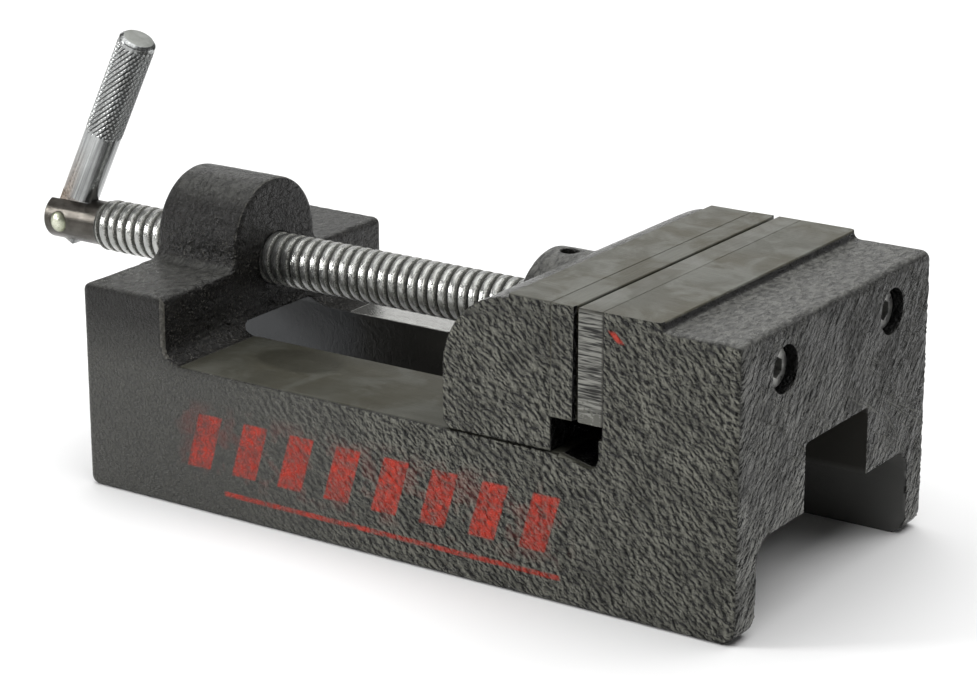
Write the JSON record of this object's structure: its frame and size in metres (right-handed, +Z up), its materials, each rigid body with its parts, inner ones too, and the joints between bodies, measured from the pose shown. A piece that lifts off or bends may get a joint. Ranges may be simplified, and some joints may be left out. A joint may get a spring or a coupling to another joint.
{
  "type": "machine vise",
  "caption": "Drill press machine vise: cast channel body with rails, bolted jaw plates, threaded spindle and folding knurled crank handle.",
  "frame": {"origin": "centre of the body casting's footprint, on the plane that its legs stand on", "axes": "+X along the spindle from the crank to the fixed jaw, +Y across the jaws away from the marked side, +Z up"},
  "size_m": [0.3141, 0.12, 0.1406],
  "materials": {
    "hammer_paint": "dark graphite hammer paint over rough casting, semi-gloss",
    "milled_steel": "ground, slightly stained",
    "zinc_screw": "bright rolled thread, oiled",
    "zinc_handle": "bright zinc plating, knurled grip",
    "rivet_steel": "yellow passivated zinc",
    "black_steel": "black oxide, lightly oiled",
    "keeper_steel": "plain hot rolled steel"
  },
  "bodies": {
    "base": {"body_casting": "hammer_paint", "fixed_jaw_plate": "milled_steel", "fixed_plate_screw_near": "black_steel", "fixed_plate_screw_far": "black_steel"},
    "carriage": {"movable_jaw": "hammer_paint", "movable_jaw_plate": "milled_steel", "movable_plate_screw_near": "black_steel", "movable_plate_screw_far": "black_steel", "keeper_plate": "keeper_steel", "keeper_bolt_front": "black_steel", "keeper_bolt_rear": "black_steel", "keeper_washer_front": "keeper_steel", "keeper_washer_rear": "keeper_steel", "spindle_retaining_screw": "black_steel"},
    "screw": {"spindle": "zinc_screw", "crank_pivot_pin": "rivet_steel"},
    "crank": {"crank_handle": "zinc_handle"}
  },
  "joints": [
    {"name": "jaw_slide", "type": "slide", "parent": "base", "child": "carriage", "axis": [1, 0, 0], "range_m": [-0.10405, 0.00115]},
    {"name": "screw_turn", "type": "hinge", "parent": "carriage", "child": "screw", "pos_m": [0.0202, 0, 0.0698], "axis": [1, 0, 0], "range_deg": [-9360, 99]},
    {"name": "crank_fold", "type": "hinge", "parent": "screw", "child": "crank", "pos_m": [-0.1815, 0, 0.0698], "axis": [0, -1, 0], "range_deg": [0, 232]}
  ],
  "couplings": [
    {"joint": "jaw_slide", "follows": "screw_turn", "m_per_rad": 0.00063662}
  ]
}
